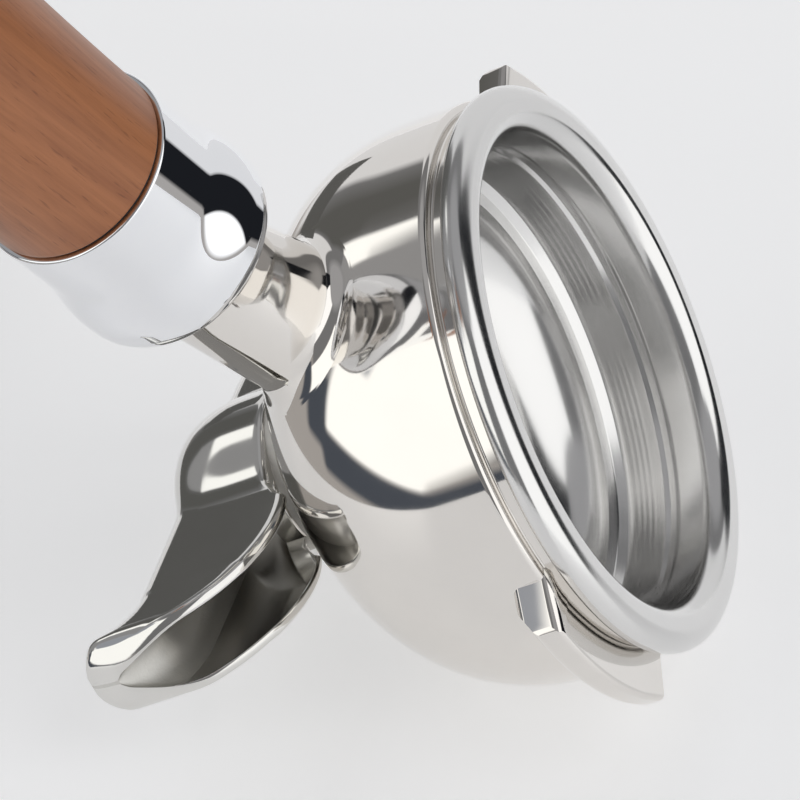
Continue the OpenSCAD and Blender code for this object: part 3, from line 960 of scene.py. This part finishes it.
def make_floor(right, up, front):
    """Pale table under the lowest points of the object."""
    k = Mat("floor")
    tint = k.ramp(k.noise(k.coords(), 8.0), [(0.3, (0.745, 0.75, 0.765)), (0.7, (0.765, 0.77, 0.785))])
    k.link(tint, k.bsdf.inputs["Base Color"])
    k.bsdf.inputs["Roughness"].default_value = 0.3
    k.bsdf.inputs["Emission Color"].default_value = (1.0, 1.0, 1.0, 1)
    k.bsdf.inputs["Emission Strength"].default_value = TABLE_GLOW
    # seen from below, the table is clear
    geometry = k.add("ShaderNodeNewGeometry")
    clear = k.add("ShaderNodeBsdfTransparent")
    mix = k.add("ShaderNodeMixShader")
    k.link(geometry.outputs["Backfacing"], mix.inputs[0])
    k.link(k.bsdf.outputs[0], mix.inputs[1])
    k.link(clear.outputs[0], mix.inputs[2])
    k.link(mix.outputs[0], k.out.inputs["Surface"])
    low = min(lowest(node, up) for node in ("double_spout", "filter_holder_body")) - FLOOR_GAP
    # to the right and to the front of the object's middle, in metres
    corners = [(-0.075, 0.4), (0.23, 0.4), (0.23, -1.6), (-0.22, -1.6)]
    floor = panel("floor", [right * x + front * y + up * low for x, y in corners], k.m)


def make_flag(right, up, front):
    """Dark card beside the set that the near flank of the spout mirrors."""
    k = Mat("flag")
    tint = k.ramp(k.noise(k.coords(), 30.0), [(0.3, (0.010, 0.010, 0.010)), (0.7, (0.012, 0.012, 0.012))])
    k.link(tint, k.bsdf.inputs["Base Color"])
    k.bsdf.inputs["Roughness"].default_value = 0.9
    k.bsdf.inputs["Emission Color"].default_value = (1.0, 1.0, 0.96, 1)
    k.bsdf.inputs["Emission Strength"].default_value = 0.09
    along = Vector((math.cos(SPOUT_TURN), math.sin(SPOUT_TURN), 0))
    across = Vector((along.y, -along.x, 0))
    flank = (along * FLANK_OUT + across * ARM_W + Vector((0, 0, FLANK_Z))) * MM
    level = right * math.sin(FLAG_AZIMUTH) + front * math.cos(FLAG_AZIMUTH)
    aim = level * math.cos(FLAG_ELEVATION) + up * math.sin(FLAG_ELEVATION)
    side = aim.cross(up).normalized()
    top = side.cross(aim)
    corners = [flank + aim * FLAG_AWAY + side * FLAG_HALF_W * x + top * FLAG_HALF_H * y
               for x, y in ((-1, -1), (1, -1), (1, 1), (-1, 1))]
    flag = panel("flag", corners, k.m)
    flag.visible_camera = False


def panel(name, corners, material):
    """A flat surface for the stage, its corners in metres."""
    mesh = bpy.data.meshes.new(name)
    mesh.from_pydata(corners, [], [(0, 1, 2, 3)])
    mesh.materials.append(material)
    o = bpy.data.objects.new(name, mesh)
    bpy.context.scene.collection.objects.link(o)
    return o


def lowest(node, up):
    """How low a CAD node reaches along the room's up direction."""
    mesh = NODES[node].data
    points = np.empty(len(mesh.vertices) * 3)
    mesh.vertices.foreach_get("co", points)
    return float((points.reshape(-1, 3) @ np.array(up)).min())


def make_world(right, up, front):
    """A studio of soft boxes, gaps and a backdrop, placed by azimuth from the front toward
    the right and elevation above the table, in degrees; later rows cover earlier ones."""
    world = bpy.data.worlds.new("studio")
    bpy.context.scene.world = world
    world.use_nodes = True
    k = Nodes(world.node_tree)
    out = k.add("ShaderNodeOutputWorld")
    background = k.add("ShaderNodeBackground")
    k.link(background.outputs[0], out.inputs[0])
    ray = k.add("ShaderNodeTexCoord").outputs["Generated"]

    def along(axis):
        dot = k.add("ShaderNodeVectorMath", operation="DOT_PRODUCT")
        k.link(ray, dot.inputs[0])
        dot.inputs[1].default_value = axis
        return dot.outputs["Value"]

    seam = -125
    azimuth = k.math("DEGREES", k.math("ARCTAN2", along(right), along(front)))
    azimuth = k.math("WRAP", azimuth, seam + 360, seam)
    elevation = k.math("DEGREES", k.math("ARCSINE", along(up)))

    def within(value, low, high, soft):
        """1 between low and high, with soft edges."""
        up_step = k.remap(value, 0, 1, low - soft / 2, low + soft / 2)
        down_step = k.remap(value, 1, 0, high - soft / 2, high + soft / 2)
        return k.math("MULTIPLY", up_step, down_step)

    colour = (0.20, 0.20, 0.205)
    white, key = (1.25, 1.25, 1.25), (1.3, 1.3, 1.27)
    dark_blue = (0.075, 0.085, 0.105)
    for azimuths, elevations, soft, light in (
            ((-400, 400), (60, 100), 12, (0.38, 0.38, 0.39)),      # ceiling
            ((-400, 400), (-100, -8), 4, (0.42, 0.40, 0.385)),     # below the table
            ((-125, -85), (-8, 60), 5, (0.32, 0.32, 0.325)),       # left rear
            ((-100, -86), (-18, 5), 3, dark_blue),                 # gap left of the soft box
            ((-124, -112), (25, 38), 2, key),                      # small high box
            ((-86, -34), (-11, 42), 2.5, key),                     # left soft box
            ((-87, -67), (20, 39), 3, (0.36, 0.38, 0.42)),         # its dimmer upper corner
            ((-90, -20), (-24, -11), 3, dark_blue),                # table's far edge, left
            ((20, 96), (-11, 61), 3, white),                       # right soft box
            ((97, 129), (-12, 62), 1.5, (0.012, 0.013, 0.016)),    # black panel
            ((130, 208), (-12, 42), 3, (0.78, 0.78, 0.79)),        # backdrop
            ((213, 236), (-16, 36), 9, (0.115, 0.115, 0.11))):      # gap beside the backdrop
        mask = k.math("MULTIPLY", within(azimuth, *azimuths, soft), within(elevation, *elevations, soft))
        colour = k.mix(mask, colour, light)
    path = k.add("ShaderNodeLightPath")
    colour = k.mix(path.outputs["Is Camera Ray"], colour, (0.80, 0.805, 0.82))
    k.link(colour, background.inputs["Color"])


# ---------------------------------------------------------------- the scene

clear_scene()
bpy.context.scene.view_settings.view_transform = "Standard"

CAST = metal("chromed_casting", (0.81, 0.782, 0.745), 0.045, 0.03, wave=0.00007)
POLISHED = metal("chromed_ferrule", (0.88, 0.89, 0.91), 0.02, 0.015)
STEEL = metal("basket_steel", (0.76, 0.755, 0.745), 0.15, 0.08, turned=0.000004)
SPOUT = metal("chromed_spout", (0.74, 0.73, 0.705), 0.06, 0.05, wave=0.00007)
SAND_CAST = metal("raw_trough", (0.66, 0.65, 0.62), 0.42, 0.15, wave=0.00005, grain=0.00006)

piece("holder_casting", join(bowl_shell(), neck(), lug(-1, 1), lug(1, -1)), "filter_holder_body", [CAST])
piece("basket_shell", join(basket_wall(), basket_floor()), "filter_basket", [STEEL])
spout_shape, raw_faces = spout()
piece("spout_casting", spout_shape, "double_spout", [SPOUT, SAND_CAST], raw_faces)
piece("handle_ferrule", ferrule(), "ferrule", [POLISHED])
piece("grip", wood_grip(), "wood_handle", [wood("oiled_wood")])

paint("basket_spring", metal("spring_steel", (0.5, 0.5, 0.52), 0.2, grain=0.00002))
paint("handle_stud", metal("stud_steel", (0.6, 0.6, 0.62), 0.25, grain=0.00002))
paint("spout_nipple", brass("nipple_brass"))
paint("threaded_insert", brass("insert_brass"))
paint("spout_washer", plain("seal", (0.80, 0.78, 0.74), 0.5))
paint("neck_washer", plain("rubber", (0.03, 0.03, 0.03), 0.6))
paint("ferrule_seat_ring", plain("seat_rubber", (0.03, 0.03, 0.03), 0.6))

ROOM = room_axes(make_camera())
make_world(*ROOM)
make_floor(*ROOM)
make_flag(*ROOM)
